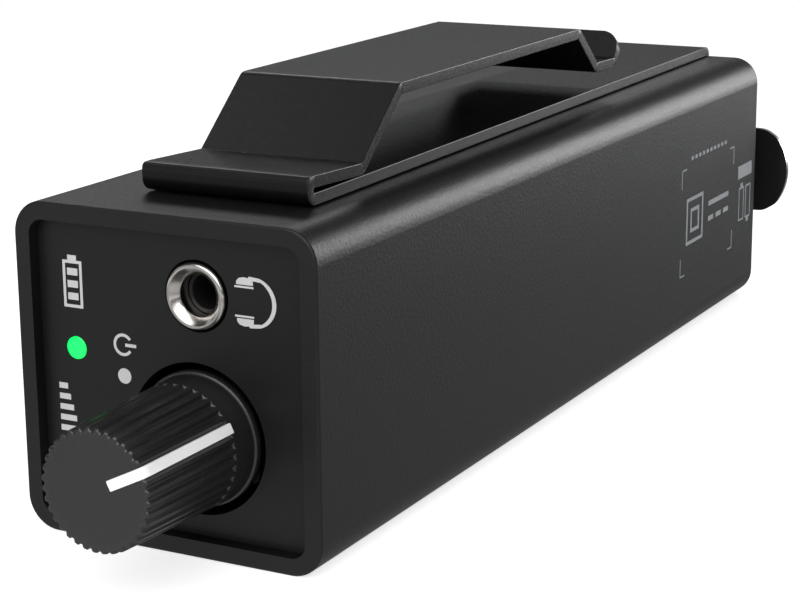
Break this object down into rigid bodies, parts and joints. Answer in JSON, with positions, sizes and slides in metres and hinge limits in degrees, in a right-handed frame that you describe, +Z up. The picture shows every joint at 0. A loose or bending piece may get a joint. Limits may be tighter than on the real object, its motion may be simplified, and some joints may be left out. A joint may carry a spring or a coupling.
{
  "type": "belt-pack monitor amplifier",
  "caption": "Slim square-section belt-pack amplifier box with a fluted volume knob and headphone jack on the front, a line input with latch lever on the rear and a sprung belt clip on top.",
  "frame": {"origin": "middle of the case's flat underside", "axes": "+Z up through the belt clip, -Y out of the control panel, +Y out of the line input, +X to the right of someone facing the controls"},
  "size_m": [0.039, 0.1534, 0.0458],
  "materials": {
    "case_paint": "fine textured powder coat, satin black",
    "panel_paint": "smooth satin black",
    "clip_paint": "semi-gloss black on sprung sheet steel",
    "knob_plastic": "matt black moulding",
    "pointer_white": "white insert",
    "nickel": "turned nickel-plated bush",
    "lamp_green": "lit green lens",
    "steel": "bright steel",
    "black_steel": "black oxide screws",
    "lever_steel": "dark plated sheet with bright cut edges",
    "black_plastic": "black glass-filled nylon",
    "board": "green solder mask",
    "chip": "moulded package",
    "capacitor_sleeve": "shrink sleeve",
    "ceramic_parts": "surface mounted parts",
    "contact_brass": "spring brass",
    "cell_jacket": "plain battery jacket",
    "wire_insulation": "soft insulation"
  },
  "bodies": {
    "case": {"case_sleeve": "case_paint", "front_panel": "panel_paint", "rear_panel": "panel_paint", "panel_screws": "black_steel", "tray_screws": "black_steel", "clip_base": "clip_paint", "clip_screws": "black_steel", "clip_spacers": "steel", "clip_nuts": "steel", "pot_housing": "black_plastic", "pot_bushing": "steel", "pot_pins": "steel", "jack_ring": "nickel", "jack_housing": "black_plastic", "jack_contacts": "contact_brass", "lamp_lens": "lamp_green", "lamp_leads": "steel", "main_board": "board", "board_screws": "steel", "amplifier_chips": "chip", "capacitors": "capacitor_sleeve", "inductor": "chip", "resistors": "ceramic_parts", "battery_tray": "black_plastic", "battery_cell_left": "cell_jacket", "battery_cell_right": "cell_jacket", "battery_springs": "steel", "battery_contacts": "steel", "battery_link": "steel", "door_pin": "steel", "input_shell": "black_plastic", "input_insert": "black_plastic", "pin_sockets": "contact_brass", "input_terminals": "steel", "input_screws": "black_steel", "latch_pin": "steel", "latch_spring": "steel", "switch_body": "black_plastic", "switch_wires": "wire_insulation"},
    "knob": {"knob": "knob_plastic", "knob_pointer": "pointer_white", "pot_shaft": "steel", "pot_wiper": "contact_brass"},
    "clip_arm": {"clip_arm": "clip_paint"},
    "battery_door": {"battery_door": "case_paint"},
    "latch": {"latch_lever": "lever_steel"},
    "switch": {"switch_nub": "black_plastic"}
  },
  "joints": [
    {"name": "knob_turn", "type": "hinge", "parent": "case", "child": "knob", "pos_m": [0.0029, -0.0654, 0.0123], "axis": [0, 1, 0], "range_deg": [-124, 176]},
    {"name": "clip_flex", "type": "hinge", "parent": "case", "child": "clip_arm", "pos_m": [0.0025, -0.05539, 0.0373], "axis": [1, 0, 0], "range_deg": [0, 9], "stiffness_Nm_per_rad": 8},
    {"name": "door_swing", "type": "hinge", "parent": "case", "child": "battery_door", "pos_m": [0, -0.026, 0.00095], "axis": [-1, 0, 0], "range_deg": [0, 92]},
    {"name": "latch_press", "type": "hinge", "parent": "case", "child": "latch", "pos_m": [0.0116, 0.05, 0.0178], "axis": [0, 0, -1], "range_deg": [0, 8], "stiffness_Nm_per_rad": 0.5, "springref_deg": -2.86},
    {"name": "switch_slide", "type": "slide", "parent": "case", "child": "switch", "axis": [1, 0, 0], "range_m": [0, 0.002]}
  ]
}
